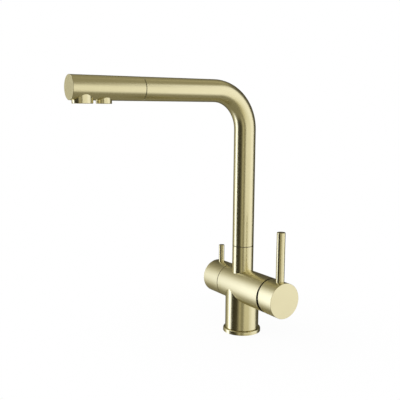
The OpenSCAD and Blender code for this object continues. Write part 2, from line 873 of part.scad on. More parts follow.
module mixer_knob_screw() {
  color(steel) grub_screw(mixer_lever_x, spindle_w / 2);
}

module filter_knob() {
  bore_w = stem_w + 2 * run_play;
  color(gold)
    on_barrel(-1)
      difference() {
        knob_blank(filter_knob_x, filter_hollow_end, filter_end, filter_lever_x, filter_lever_d);
        translate([-bore_w / 2, -bore_w / 2, filter_hollow_end - over])
          cube([bore_w, bore_w, stem_end + end_play - filter_hollow_end + over]);
      }
}

module filter_lever() {
  color(gold) lever(-filter_lever_x, filter_lever_d, filter_lever_len);
}

module filter_knob_screw() {
  color(steel) grub_screw(-filter_lever_x, stem_w / 2);
}

// Filter valve

module filter_seals() {
  color(dark_rubber)
    on_barrel(-1) port_seals(filter_seat, filter_ports, filter_port_d / 2);
}

module filter_cartridge_base() {
  color(white_plastic)
    on_barrel(-1)
      difference() {
        bar(filter_seat, filter_disc_x, filter_flange_r);
        port_seals(filter_seat, filter_ports, filter_port_d / 2, over);
        for (p = filter_ports)
          translate([p[0], p[1], 0])
            bar(filter_seat - over, filter_disc_x + over, filter_port_d / 2);
      }
}

module filter_fixed_disc() {
  color(ceramic)
    on_barrel(-1)
      difference() {
        bar(filter_disc_x, filter_slide_x, filter_disc_r);
        for (p = filter_ports)
          translate([p[0], p[1], 0])
            bar(filter_disc_x - over, filter_slide_x + over, disc_port_r);
      }
}

// At rest the passage stands upright, across the line of the ports, and the valve is shut
module filter_moving_disc() {
  passage_len = 2 * (filter_port_y + disc_port_r);
  color(ceramic)
    on_barrel(-1)
      difference() {
        bar(filter_slide_x, stem_flange_x, filter_disc_r);
        translate([-passage_len / 2, -passage_w / 2, filter_slide_x - over])
          cube([passage_len, passage_w, passage_t + over]);
      }
}

module filter_cartridge_housing() {
  color(grey_plastic)
    on_barrel(-1)
      difference() {
        union() {
          bar(filter_disc_x, filter_nut_x, filter_flange_r);
          bar(filter_disc_x, filter_housing_end, filter_cart_r);
        }
        bar(filter_disc_x - over, filter_end_x, filter_disc_r + clear);
        bar(filter_disc_x, filter_housing_end + over, stem_r + run_play);
        bar(stem_seal_x, stem_seal_x + stem_seal_t, stem_r + run_play + stem_seal_t);
      }
}

module filter_stem_seal() {
  color(dark_rubber)
    on_barrel(-1)
      ring(stem_seal_x, stem_seal_x + stem_seal_t, stem_r + run_play + stem_seal_t,
        stem_r + run_play);
}

module filter_cartridge_nut() {
  color(raw_brass)
    on_barrel(-1)
      difference() {
        union() {
          bar(filter_nut_x, filter_nut_end, filter_bore_r - seat_play);
          translate([0, 0, filter_knob_x])
            cylinder(h = filter_nut_t, d = filter_nut_af / cos(30), $fn = 6);
        }
        bar(filter_nut_x - over, filter_nut_end + over, filter_cart_r + seat_play);
      }
}

module filter_stem() {
  flats_start = filter_hollow_end - flats_back;
  color(raw_brass)
    on_barrel(-1) {
      bar(stem_flange_x, stem_flange_end, filter_disc_r);
      bar(stem_flange_end - over, flats_start + over, stem_r);
      translate([-stem_w / 2, -stem_w / 2, flats_start])
        cube([stem_w, stem_w, stem_end - flats_start]);
    }
}

// Swivel

module swivel_washer() {
  color(black_plastic)
    ring(neck_top, tube_bottom - run_play, spout_r - swivel_bevel - clear, neck_bore_r);
}

module spout_retaining_screw() {
  tip_r = retainer_groove_r + clear;
  shank_r = neck_bore_r + retainer_shank_gap;
  color(steel)
    translate([0, 0, retainer_z])
      rotate([-90, 0, 0])
        difference() {
          union() {
            bar(tip_r, shank_r, retainer_tip_d / 2);
            bar(shank_r, spout_r - retainer_sink, retainer_d / 2);
          }
          translate([0, 0, shank_r + retainer_sink])
            cylinder(h = neck_wall, d = grub_af / cos(30), $fn = 6);
        }
}

module swivel_spigot() {
  retainer_h = retainer_tip_d + 2 * retainer_play;
  color(raw_brass)
    difference() {
      union() {
        bar(spigot_z, tube_bottom + over, spigot_r, body_bevel);
        bar(tube_bottom + swivel_bevel, tube_bottom + spigot_in_tube, spout_in_r, 0, body_bevel);
      }
      bar(spigot_z - over, tube_bottom + spigot_in_tube + over, spigot_bore_r);
      for (z = slide_ring_z)
        ring(z, z + slide_ring_h, spigot_r + over, slide_groove_r);
      ring(retainer_z - retainer_h / 2, retainer_z + retainer_h / 2, spigot_r + over,
        retainer_groove_r);
      ring(friction_ring_z - friction_ring_t / 2, friction_ring_z + friction_ring_t / 2,
        spigot_r + over, friction_ring_r - friction_ring_t / 2);
    }
}

module swivel_slide_rings() {
  color(white_plastic)
    for (z = slide_ring_z)
      ring(z, z + slide_ring_h, slide_ring_r, slide_groove_r);
}

module swivel_friction_ring() {
  color(dark_rubber)
    translate([0, 0, friction_ring_z])
      rotate_extrude()
        translate([friction_ring_r, 0])
          circle(r = friction_ring_t / 2);
}

// Spout

module spout_tube() {
  color(gold)
    spout_pipe(tube_bottom, dock_mouth, spout_r, spout_in_r, swivel_bevel, seam_bevel);
}

module docking_collar() {
  x0 = dock_mouth - dock_len;
  x1 = dock_mouth - dock_recess;
  mouth = 0.8;
  color(grey_plastic)
    on_spout()
      difference() {
        bar(x0, x1, spout_in_r);
        bar(x0 - over, x1 + over, dock_bore_d / 2);
        translate([0, 0, x1 - mouth])
          cylinder(h = mouth, r1 = dock_bore_d / 2, r2 = dock_bore_d / 2 + mouth);
      }
}

module spout_hose() {
  color(braid) spout_pipe(foot_lift, hose_split, hose_r, hose_in_d / 2);
}

module spout_filter_tube() {
  color(white_plastic) spout_pipe(foot_lift, hose_split, tube_r, tube_in_d / 2);
}

// Pull-out head

// The bore of an outlet, from below its boss to the washer's seat in the core
module outlet_bore(reach, r) {
  translate([0, -reach, 0])
    bar(boss_bottom - over, outlet_seat, r);
}

module head_shell() {
  color(gold)
    difference() {
      union() {
        on_spout() bar(head_start, head_end, spout_r, seam_bevel, head_bevel);
        translate([0, -main_reach, 0]) bar(boss_bottom, spout_z, main_boss_d / 2, body_bevel);
        translate([0, -filter_reach, 0]) bar(boss_bottom, spout_z, filter_boss_d / 2, body_bevel);
      }
      on_spout() bar(head_start - over, head_end - head_end_t, head_in_r);
      outlet_bore(main_reach, main_bore_r);
      outlet_bore(filter_reach, filter_bore_out_r);
    }
}

module head_core() {
  color(grey_plastic)
    difference() {
      on_spout() {
        bar(dock_spigot_start, core_start + over, dock_spigot_d / 2, body_bevel);
        bar(core_start, core_end, core_r, 0, body_bevel);
      }
      on_spout() {
        bar(dock_spigot_start - over, head_start, crimp_d / 2 + clear);
        bar(head_start - over, socket_end, socket_d / 2);
        bar(socket_end - over, socket_end + tube_seal_t, tube_r + seal_t);
        bar(socket_end - over, tube_end, tube_r + run_play);
        bar(socket_end - over, filter_reach, tube_in_d / 2);
        translate([0, core_channel_up, 0])
          bar(socket_end - channel_lap, main_reach, channel_r);
      }
      translate([0, -main_reach, 0])
        bar(outlet_seat - over, spout_z + core_channel_up, main_bore_r - washer_w);
      translate([0, -filter_reach, 0])
        bar(outlet_seat - over, spout_z, tube_in_d / 2);
      outlet_bore(main_reach, main_bore_r);
      outlet_bore(filter_reach, filter_bore_out_r);
    }
}

module head_seals() {
  color(dark_rubber)
    on_spout() {
      ring(nipple_seal_x, nipple_seal_x + nipple_seal_w, socket_d / 2, socket_d / 2 - seal_t);
      ring(socket_end, socket_end + tube_seal_t, tube_r + seal_t, tube_r);
    }
}

module hose_nipple() {
  color(raw_brass)
    on_spout()
      difference() {
        union() {
          bar(barb_start, head_start + over, hose_in_d / 2);
          bar(head_start, socket_end - nipple_gap, socket_d / 2);
        }
        bar(barb_start - over, socket_end + over, hose_in_d / 2 - nipple_wall);
        ring(nipple_seal_x, nipple_seal_x + nipple_seal_w, socket_d / 2 + over,
          socket_d / 2 - seal_t);
      }
}

module hose_crimp_sleeve() {
  color(steel)
    on_spout() ring(crimp_start, crimp_end, crimp_d / 2, hose_r);
}

module head_hose() {
  color(braid)
    on_spout() ring(head_hose_start, crimp_end, hose_r, hose_in_d / 2);
}

module head_filter_tube() {
  color(white_plastic)
    on_spout() ring(head_hose_start, tube_end, tube_r, tube_in_d / 2);
}

// The threaded shell of an outlet, open below
module outlet_housing(reach, bore_r) {
  outer = bore_r - seat_play;
  translate([0, -reach, 0])
    ring(outlet_bottom, outlet_top, outer, outer - outlet_wall);
}

// The insert of an outlet: a cup whose floor is a grid of six-sided holes
module outlet_insert(reach, bore_r, pitch, rings) {
  outer = bore_r - seat_play - outlet_wall;
  floor_z = outlet_bottom + insert_recess;
  cup_wall = 1;
  translate([0, -reach, 0])
    difference() {
      bar(floor_z, outlet_top, outer, body_bevel);
      bar(floor_z + grid_t, outlet_top + over, outer - cup_wall);
      translate([0, 0, floor_z - over])
        grid(pitch, rings)
          cylinder(h = grid_t + 2 * over, d = (pitch - grid_bar) / cos(30), $fn = 6);
    }
}

module outlet_washer(reach, bore_r) {
  translate([0, -reach, 0])
    ring(outlet_top, outlet_seat, bore_r - seat_play, bore_r - washer_w);
}

module main_aerator_housing() {
  color(raw_brass) outlet_housing(main_reach, main_bore_r);
}

module main_aerator_insert() {
  color(white_plastic) outlet_insert(main_reach, main_bore_r, main_pitch, 3);
}

module main_aerator_washer() {
  color(dark_rubber) outlet_washer(main_reach, main_bore_r);
}

module filter_outlet_housing() {
  color(raw_brass) outlet_housing(filter_reach, filter_bore_out_r);
}

module filter_outlet_insert() {
  color(white_plastic) outlet_insert(filter_reach, filter_bore_out_r, filter_pitch, 2);
}

module filter_outlet_washer() {
  color(dark_rubber) outlet_washer(filter_reach, filter_bore_out_r);
}

tap_body();
base_ring();
base_seal();
hose_guide();
mixer_seals();
mixer_cartridge_base();
mixer_fixed_disc();
mixer_cartridge_housing();
mixer_cartridge_nut();
mixer_cover_ring();
filter_seals();
filter_cartridge_base();
filter_fixed_disc();
filter_cartridge_housing();
filter_cartridge_nut();
filter_stem_seal();
swivel_washer();
spout_retaining_screw();
spindle_guide();
spindle_pivot_pin();
mixer_disc_carrier();
mixer_moving_disc();
mixer_spindle();
mixer_knob();
mixer_lever();
mixer_knob_screw();
filter_stem();
filter_moving_disc();
filter_knob();
filter_lever();
filter_knob_screw();
spout_tube();
swivel_spigot();
swivel_slide_rings();
swivel_friction_ring();
docking_collar();
spout_hose();
spout_filter_tube();
head_shell();
head_core();
head_seals();
hose_nipple();
hose_crimp_sleeve();
head_hose();
head_filter_tube();
main_aerator_housing();
main_aerator_insert();
main_aerator_washer();
filter_outlet_housing();
filter_outlet_insert();
filter_outlet_washer();
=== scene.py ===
"""Looks of the kitchen tap: finishes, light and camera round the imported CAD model."""
import math

import bmesh
import bpy
from mathutils import Matrix, Vector


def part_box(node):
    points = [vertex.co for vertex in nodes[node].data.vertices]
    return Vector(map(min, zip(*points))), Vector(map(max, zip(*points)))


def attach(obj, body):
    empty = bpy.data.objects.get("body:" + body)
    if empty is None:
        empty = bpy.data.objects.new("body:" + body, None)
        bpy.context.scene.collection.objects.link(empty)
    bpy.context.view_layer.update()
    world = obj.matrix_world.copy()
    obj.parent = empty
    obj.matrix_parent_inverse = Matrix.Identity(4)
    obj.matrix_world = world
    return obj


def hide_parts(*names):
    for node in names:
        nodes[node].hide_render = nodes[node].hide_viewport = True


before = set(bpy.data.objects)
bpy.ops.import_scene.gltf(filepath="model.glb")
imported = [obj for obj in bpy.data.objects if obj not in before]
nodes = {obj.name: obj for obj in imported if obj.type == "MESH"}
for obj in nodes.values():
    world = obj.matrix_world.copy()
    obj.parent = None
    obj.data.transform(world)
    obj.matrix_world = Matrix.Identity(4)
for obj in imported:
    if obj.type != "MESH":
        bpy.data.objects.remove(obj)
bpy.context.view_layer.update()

# Units and axes
MM = 0.001
X_AXIS = (1, 0, 0)
Y_AXIS = (0, 1, 0)
Z_AXIS = (0, 0, 1)

# Sizes that no box of the frame gives, as in the part's source
BARREL_BEVEL = 0.2 * MM
COLUMN_BEVEL = 0.4 * MM
FOOT_R = 19.5 * MM
BEND_R = 49 * MM
HOSE_BORE_R = 5 * MM

# Places on the tap, from the frame. The spout's arm is as thick as its riser.
BODY_LOW, BODY_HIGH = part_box("tap_body")
KNOB_LOW, KNOB_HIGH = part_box("filter_knob")
BARREL_Z = (KNOB_LOW.z + KNOB_HIGH.z) / 2
BARREL_R = (KNOB_HIGH.z - KNOB_LOW.z) / 2
BASE_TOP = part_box("base_ring")[1].z
SPOUT_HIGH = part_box("spout_tube")[1]
SPOUT_Z = SPOUT_HIGH.z - SPOUT_HIGH.x
RISER_TOP = SPOUT_Z - BEND_R

# Where a finish changes. The painted shade in each knob ends between its bore and its face, and
# inside the column the metal is bare up to the barrel.
EDGE_PLAY = 0.05 * MM
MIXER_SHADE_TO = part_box("mixer_knob")[1].x - 1 * MM
FILTER_SHADE_TO = -KNOB_LOW.x - 1.3 * MM
BARE_TOP = BARREL_Z - BARREL_R + 0.1 * MM


def rgb(r, g, b):
    return (r, g, b, 1.0)


# Range in which most of a noise lies
NOISE_RANGE = (0.25, 0.75)

# Colours and finish of the gold
GOLD_PALE = rgb(0.828, 0.767, 0.492)
GOLD_DEEP = rgb(0.80, 0.738, 0.465)
GOLD_CLOUD = rgb(0.75, 0.685, 0.42)
# Painted shade on the bevel over the base ring
PAINTED_FOOT_SHADE = rgb(0.42, 0.36, 0.20)
BARE_BRASS = rgb(0.72, 0.58, 0.30)
# Painted shade inside the seams
PAINTED_SEAM_SHADE = rgb(0.055, 0.042, 0.025)
SATIN = 0.24
KNOB_SATIN = 0.31
SEAM_ROUGHER = 0.25
LINES_PER_M = 3600.0
DRAWN_PER_M = 30.0
CLOUDS_PER_M = 55.0
CLOUD_SHARE = 0.2
LINE_ROUGH = 0.02
CLOUD_ROUGH = 0.01
METAL_IOR = 1.45

# Grain of the moulded, cast and sintered finishes, and the broader clouds over it
GRAINS_PER_M = 400.0
GRAINS_PER_CLOUD = 12
GRAIN_HEIGHT = 0.02 * MM
GRAIN_RELIEF = 0.5
GRAIN_ROUGH = 0.05
CLOUD_DARKER = 0.06
PLASTIC_IOR = 1.5

# Threads of a woven strand
THREADS = 14.0
THREAD_HEIGHT = 0.04 * MM
THREAD_RELIEF = 0.6
THREAD_ROUGH = (0.36, 0.5)
# Painted shade: the colour between threads is this share of the threads' own
THREAD_GROOVE_SHADE = 0.7


class Tree:
    """The nodes of a material or of the world, made one after another."""

    def __init__(self, owner, output):
        owner.use_nodes = True
        self.owner = owner
        self.tree = owner.node_tree
        self.tree.nodes.clear()
        self.output = self.node(output)

    def node(self, kind, **values):
        made = self.tree.nodes.new(kind)
        for key, value in values.items():
            setattr(made, key, value)
        return made

    def link(self, source, target):
        self.tree.links.new(source, target)

    def feed(self, socket, value):
        """Links another node's output, or sets a number or a colour."""
        if isinstance(value, bpy.types.NodeSocket):
            self.link(value, socket)
        else:
            socket.default_value = value

    def place(self, kind="Object"):
        """Where a point lies on its object, in metres or by its UV map."""
        return self.node("ShaderNodeTexCoord").outputs[kind]

    def math(self, operation, a, b=None):
        made = self.node("ShaderNodeMath", operation=operation)
        self.feed(made.inputs[0], a)
        if b is not None:
            self.feed(made.inputs[1], b)
        return made.outputs[0]

    def vector(self, operation, a, b=None):
        made = self.node("ShaderNodeVectorMath", operation=operation)
        self.feed(made.inputs[0], a)
        if b is not None:
            self.feed(made.inputs[1], b)
        scalar = operation in ("DOT_PRODUCT", "LENGTH")
        return made.outputs["Value" if scalar else "Vector"]

    def combine(self, x, y, z):
        made = self.node("ShaderNodeCombineXYZ")
        for socket, value in zip(made.inputs, (x, y, z)):
            self.feed(socket, value)
        return made.outputs[0]

    def separate(self, vector):
        made = self.node("ShaderNodeSeparateXYZ")
        self.link(vector, made.inputs[0])
        return made.outputs

    def noise(self, vector, scale, detail=2.0, roughness=0.5):
        made = self.node("ShaderNodeTexNoise")
        self.link(vector, made.inputs["Vector"])
        made.inputs["Scale"].default_value = scale
        made.inputs["Detail"].default_value = detail
        made.inputs["Roughness"].default_value = roughness
        return made.outputs["Fac"]

    def ranged(self, value, start, end, low, high, smooth=False):
        """Goes from low to high while a value goes from start to end."""
        made = self.node("ShaderNodeMapRange")
        if smooth:
            made.interpolation_type = "SMOOTHSTEP"
        self.link(value, made.inputs["Value"])
        for name, number in (("From Min", start), ("From Max", end),
                             ("To Min", low), ("To Max", high)):
            made.inputs[name].default_value = number
        return made.outputs["Result"]

    def spread(self, noise, low, high):
        """The middle half of a noise, brought to the range from low to high."""
        return self.ranged(noise, *NOISE_RANGE, low, high)

    def mix(self, factor, a, b):
        """A colour that is a at factor 0 and b at factor 1. These are the colour sockets."""
        made = self.node("ShaderNodeMix", data_type="RGBA")
        self.feed(made.inputs[0], factor)
        self.feed(made.inputs[6], a)
        self.feed(made.inputs[7], b)
        return made.outputs[2]

    def bump(self, height, distance, strength):
        made = self.node("ShaderNodeBump")
        self.link(height, made.inputs["Height"])
        made.inputs["Distance"].default_value = distance
        made.inputs["Strength"].default_value = strength
        return made.outputs["Normal"]

    def light(self, kind, strength, colour):
        """The shader of a lit surface or of the world."""
        made = self.node(kind)
        made.inputs["Strength"].default_value = strength
        made.inputs["Color"].default_value = colour
        return made.outputs[0]

    def blend(self, factor, a, b):
        """A shader that is a at factor 0 and b at factor 1."""
        made = self.node("ShaderNodeMixShader")
        for socket, value in zip(made.inputs, (factor, a, b)):
            self.feed(socket, value)
        return made.outputs[0]

    def show(self, shader):
        self.link(shader, self.output.inputs[0])

    def principled(self, **values):
        made = self.node("ShaderNodeBsdfPrincipled")
        for key, value in values.items():
            self.feed(made.inputs[key.replace("_", " ")], value)
        self.show(made.outputs[0])


def surface(name):
    """The tree of a new material."""
    return Tree(bpy.data.materials.new(name), "ShaderNodeOutputMaterial")


def add(name, data):
    """A new object in the scene."""
    made = bpy.data.objects.new(name, data)
    bpy.context.scene.collection.objects.link(made)
    return made


# Gold finishes

def gold(t, place, along, seam_shade=0.0, rough=SATIN, softer=0.0, patches=()):
    """Pale brass with fine lines across a piece's length, over a slow change of tone.

    The seam mask is 1 inside the seams, where the colour is painted shade and the metal is
    rougher.
    Patches are other tones, painted shade among them, each with the place where it shows."""
    x, y, z = t.separate(place)
    fine = t.noise(t.combine(t.math("MULTIPLY", along, LINES_PER_M),
                             t.math("MULTIPLY", x, DRAWN_PER_M),
                             t.math("MULTIPLY", t.math("ADD", y, z), DRAWN_PER_M)),
                   scale=1.0, detail=3.0, roughness=0.6)
    broad = t.noise(place, CLOUDS_PER_M, detail=3.0)
    colour = t.mix(t.spread(fine, 0.0, 1.0), GOLD_DEEP, GOLD_PALE)
    colour = t.mix(t.spread(broad, 0.0, CLOUD_SHARE), colour, GOLD_CLOUD)
    for where, tone in patches:
        colour = t.mix(where, colour, tone)
    # Painted shade inside the seams, where the gaps lie in shadow
    colour = t.mix(seam_shade, colour, PAINTED_SEAM_SHADE)
    roughness = t.math("ADD", t.spread(fine, rough - LINE_ROUGH, rough + LINE_ROUGH),
                       t.spread(broad, -CLOUD_ROUGH, CLOUD_ROUGH))
    roughness = t.math("ADD", roughness,
                       t.math("ADD", softer, t.math("MULTIPLY", seam_shade, SEAM_ROUGHER)))
    t.principled(Base_Color=colour, Metallic=1.0, Roughness=roughness, IOR=METAL_IOR)
    return t.owner


def from_barrel_axis(t, place):
    """Distance from the axis of the barrel and both knobs."""
    from_barrel = t.vector("SUBTRACT", place, (0, 0, BARREL_Z))
    return t.vector("LENGTH", t.vector("CROSS_PRODUCT", X_AXIS, from_barrel))


def straight_gold(name, axis):
    """Gold of a straight piece, with its lines round an axis."""
    t = surface(name)
    place = t.place()
    return gold(t, place, t.vector("DOT_PRODUCT", place, axis))


def knob_gold(name, shade_to):
    """Gold of a knob, a little softer, with painted shade inside it up to a distance near its
    face.
    """
    t = surface(name)
    place = t.place()
    along = t.separate(place)[0]
    # The knob's inside gets painted shade, up to near its face
    hollow = t.math("LESS_THAN", from_barrel_axis(t, place), BARREL_R - BARREL_BEVEL)
    behind = t.math("LESS_THAN", t.math("ABSOLUTE", along), shade_to)
    return gold(t, place, along, t.math("MULTIPLY", hollow, behind), KNOB_SATIN)


def body_gold(name):
    """Gold of the body. Its lines run round the column, and on the barrel round the barrel.

    Painted shade darkens the barrel's ends, its inside, the neck's top and the bevel over the
    base ring, and the foot's ports and underside are bare."""
    t = surface(name)
    place = t.place()
    x, y, z = t.separate(place)
    from_axis = from_barrel_axis(t, place)
    barrel = t.math("LESS_THAN", from_axis, BARREL_R + EDGE_PLAY)
    along = t.separate(t.mix(barrel, t.combine(z, 0, 0), place))[0]
    # Painted shade inside the barrel, at its ends and on the neck's top
    seam_shade = t.math("LESS_THAN", from_axis, BARREL_R - BARREL_BEVEL)
    for beyond in (t.math("GREATER_THAN", x, BODY_HIGH.x - BARREL_BEVEL),
                   t.math("LESS_THAN", x, BODY_LOW.x + BARREL_BEVEL),
                   t.math("GREATER_THAN", z, BODY_HIGH.z - BARREL_BEVEL)):
        seam_shade = t.math("MAXIMUM", seam_shade, beyond)
    # Painted shade on the bevel over the base ring
    foot_shade = t.math("LESS_THAN", z, BASE_TOP + COLUMN_BEVEL + EDGE_PLAY)
    ports = t.math("MULTIPLY", t.math("LESS_THAN", z, BARE_TOP),
                   t.math("LESS_THAN", t.vector("LENGTH", t.combine(x, y, 0)), FOOT_R))
    softer = t.math("MULTIPLY", barrel, KNOB_SATIN - SATIN)
    return gold(t, place, along, seam_shade, SATIN, softer,
                ((foot_shade, PAINTED_FOOT_SHADE), (ports, BARE_BRASS)))


def spout_gold(name):
    """Gold of the spout, whose lines follow it up the riser, round the bend and along the arm."""
    t = surface(name)
    place = t.place()
    _, y, z = t.separate(place)
    back = t.math("SUBTRACT", y, -BEND_R)
    up = t.math("SUBTRACT", z, RISER_TOP)
    turned = t.math("ARCTAN2", t.math("MAXIMUM", up, 0), t.math("MAXIMUM", back, 0))
    straight = t.math("SUBTRACT", t.math("MINIMUM", up, 0), t.math("MINIMUM", back, 0))
    return gold(t, place, t.math("ADD", t.math("MULTIPLY", turned, BEND_R), straight))


# Other finishes

def plain(name, colour, rough, metallic=0.0):
    """A moulded, cast or sintered finish with a fine grain."""
    t = surface(name)
    place = t.place()
    grain = t.noise(place, GRAINS_PER_M, detail=3.0)
    cloud = t.noise(place, GRAINS_PER_M / GRAINS_PER_CLOUD)
    darker = rgb(*(c * (1 - CLOUD_DARKER) for c in colour))
    t.principled(Base_Color=t.mix(t.spread(cloud, 0.0, 1.0), darker, rgb(*colour)),
                 Metallic=metallic, IOR=PLASTIC_IOR,
                 Roughness=t.spread(grain, rough - GRAIN_ROUGH, rough + GRAIN_ROUGH),
                 Normal=t.bump(grain, GRAIN_HEIGHT, GRAIN_RELIEF))
    return t.owner


def filaments(name, colour):
    """Nylon threads that lie side by side along a woven strand."""
    t = surface(name)
    across, along, _ = t.separate(t.place("UV"))
    lines = t.noise(t.combine(t.math("MULTIPLY", across, THREADS), along, 0.0), scale=1.0)
    # Painted shade in the grooves between threads, where the bump is lowest
    darker = rgb(*(c * THREAD_GROOVE_SHADE for c in colour))
    t.principled(Base_Color=t.mix(t.spread(lines, 0.0, 1.0), darker, rgb(*colour)),
                 IOR=PLASTIC_IOR, Roughness=t.spread(lines, *THREAD_ROUGH),
                 Normal=t.bump(lines, THREAD_HEIGHT, THREAD_RELIEF))
    return t.owner


def dress(material, *names):
    """Gives these CAD nodes a finish."""
    for name in names:
        for slot in nodes[name].material_slots:
            slot.link = "OBJECT"
            slot.material = material


dress(body_gold("gold_body"), "tap_body")
dress(straight_gold("gold_base", Z_AXIS), "base_ring")
dress(knob_gold("gold_mixer_knob", MIXER_SHADE_TO), "mixer_knob")
dress(knob_gold("gold_filter_knob", FILTER_SHADE_TO), "filter_knob")
dress(spout_gold("gold_spout"), "spout_tube")
dress(straight_gold("gold_head", Y_AXIS), "head_shell")
dress(straight_gold("gold_mixer_lever", Z_AXIS), "mixer_lever")
dress(straight_gold("gold_filter_lever", Z_AXIS), "filter_lever")
dress(plain("turned_brass", (0.72, 0.58, 0.30), 0.28, 1.0), "mixer_cartridge_nut",
      "filter_cartridge_nut", "filter_stem", "swivel_spigot", "hose_nipple",
      "main_aerator_housing", "filter_outlet_housing")
dress(plain("bright_steel", (0.62, 0.63, 0.64), 0.25, 1.0), "spindle_pivot_pin",
      "mixer_spindle", "mixer_knob_screw", "filter_knob_screw", "spout_retaining_screw",
      "hose_crimp_sleeve")
dress(plain("sintered_ceramic", (0.86, 0.85, 0.81), 0.18), "mixer_fixed_disc",
      "mixer_moving_disc", "filter_fixed_disc", "filter_moving_disc")
dress(plain("white_moulding", (0.80, 0.80, 0.77), 0.38), "hose_guide", "mixer_cartridge_base",
      "filter_cartridge_base", "spindle_guide", "mixer_disc_carrier",
      "swivel_slide_rings", "spout_filter_tube", "head_filter_tube", "main_aerator_insert",
      "filter_outlet_insert")
dress(plain("grey_moulding", (0.23, 0.235, 0.24), 0.42), "mixer_cartridge_housing",
      "filter_cartridge_housing", "docking_collar", "head_core")
dress(plain("black_moulding", (0.03, 0.029, 0.027), 0.5), "mixer_cover_ring", "swivel_washer")
dress(plain("black_rubber", (0.022, 0.022, 0.023), 0.6), "base_seal", "mixer_seals",
      "filter_seals", "filter_stem_seal", "swivel_friction_ring", "head_seals",
      "main_aerator_washer", "filter_outlet_washer")
dress(plain("woven_sleeve", (0.34, 0.35, 0.36), 0.45), "spout_hose")

# The pull-out hose: a rubber tube under strands that cross over and under each other. A
# strand's profile is in parts of its half width and of its crown.
STRANDS_EACH_WAY = 10
STRAND_HALF_W = 1.2 * MM
STRAND_CROWN = 0.26 * MM
STRAND_LIFT = 0.14 * MM
STRAND_PROFILE = ((-1.0, 0.0), (-0.6, 0.8), (0.0, 1.0), (0.6, 0.8), (1.0, 0.0))
STEPS_PER_WAVE = 8
TUBE_SIDES = 48
TUBE_PLAY = 0.03 * MM
PALE_SKIN, DARK_SKIN, RUBBER_SKIN = range(3)


class HoseMesh:
    """Points round the hose's axis, and faces with their materials and places in the weave."""

    def __init__(self, node):
        low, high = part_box(node)
        self.centre = Vector((0, 0, (low.z + high.z) / 2))
        self.back_end = high.y
        self.length = high.y - low.y
        self.strand_r = (high.x - low.x) / 2 - STRAND_LIFT - STRAND_CROWN
        self.lap = 2 * math.pi * self.strand_r
        self.points = []
        self.faces = []
        self.skins = []
        self.marks = []

    def point(self, angle, run, radius):
        """Adds a point, with run as the way from the hose's back end towards the head."""
        self.points.append(self.centre + Vector((radius * math.sin(angle), self.back_end - run,
                                                 radius * math.cos(angle))))

    def face(self, corners, skin, marks):
        """Adds a face with its material and the place of each of its corners in the weave."""
        self.faces.append(tuple(corners))
        self.skins.append(skin)
        self.marks += marks

    def strand(self, index, way, skin):
        """One ribbon that winds round the hose and goes over and under those it crosses."""
        steps = round(STEPS_PER_WAVE * STRANDS_EACH_WAY * self.length / self.lap)
        first = len(self.points)
        size = len(STRAND_PROFILE)
        for k in range(steps + 1):
            run = STRAND_HALF_W + (self.length - 2 * STRAND_HALF_W) * k / steps
            turn = 2 * math.pi * (index / STRANDS_EACH_WAY + way * run / self.lap)
            wave = math.cos(2 * math.pi * STRANDS_EACH_WAY * run / self.lap)
            rise = self.strand_r + way * STRAND_LIFT * wave
            for side, height in STRAND_PROFILE:
                aside = side * STRAND_HALF_W / math.sqrt(2)
                self.point(turn + aside / self.strand_r, run - way * aside,
                           rise + height * STRAND_CROWN)
        for k in range(steps):
            for j in range(size):
                a = first + k * size + j
                b = first + k * size + (j + 1) % size
                left = j / size
                right = (j + 1) / size
                self.face((a, b, b + size, a + size), skin,
                          [(left, k), (right, k), (right, k + 1), (left, k + 1)])
        for k in (0, steps):
            self.face((first + k * size + j for j in range(size)), skin,
                      [(j / size, k) for j in range(size)])

    def tube(self):
        """The rubber tube, from its bore to just under the strands."""
        first = len(self.points)
        for run in (0.0, self.length):
            for radius in (HOSE_BORE_R, self.strand_r - STRAND_LIFT - TUBE_PLAY):
                for i in range(TUBE_SIDES):
                    self.point(2 * math.pi * i / TUBE_SIDES, run, radius)
        inner0, outer0, inner1, outer1 = (first + ring * TUBE_SIDES for ring in range(4))
        for i in range(TUBE_SIDES):
            n = (i + 1) % TUBE_SIDES
            for a, b in ((inner0, outer0), (outer0, outer1), (outer1, inner1), (inner1, inner0)):
                self.face((a + i, a + n, b + n, b + i), RUBBER_SKIN, [(0, 0)] * 4)

    def mesh(self, name):
        """The mesh of all this, with its normals outwards."""
        mesh = bpy.data.meshes.new(name)
        mesh.from_pydata(self.points, [], self.faces)
        layer = mesh.uv_layers.new(name="weave")
        for loop, mark in zip(layer.data, self.marks):
            loop.uv = mark
        for face, skin in zip(mesh.polygons, self.skins):
            face.material_index = skin
            face.use_smooth = len(face.vertices) == 4 and skin != RUBBER_SKIN
        shape = bmesh.new()
        shape.from_mesh(mesh)
        bmesh.ops.recalc_face_normals(shape, faces=shape.faces)
        shape.to_mesh(mesh)
        shape.free()
        return mesh


def woven_hose(node, body):
    """Strands in two ways over a rubber tube, in place of a CAD node and on its body."""
    hose = HoseMesh(node)
    for way, skin in ((1, PALE_SKIN), (-1, DARK_SKIN)):
        for index in range(STRANDS_EACH_WAY):
            hose.strand(index, way, skin)
    hose.tube()
    mesh = hose.mesh("pull_out_hose")
    for material in (filaments("pale_strands", (0.52, 0.53, 0.55)),
                     filaments("dark_strands", (0.20, 0.205, 0.215)),
                     plain("hose_rubber", (0.03, 0.03, 0.031), 0.55)):
        mesh.materials.append(material)
    made = add("pull_out_hose", mesh)
    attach(made, body)
    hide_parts(node)


woven_hose("head_hose", "pull_out_head")

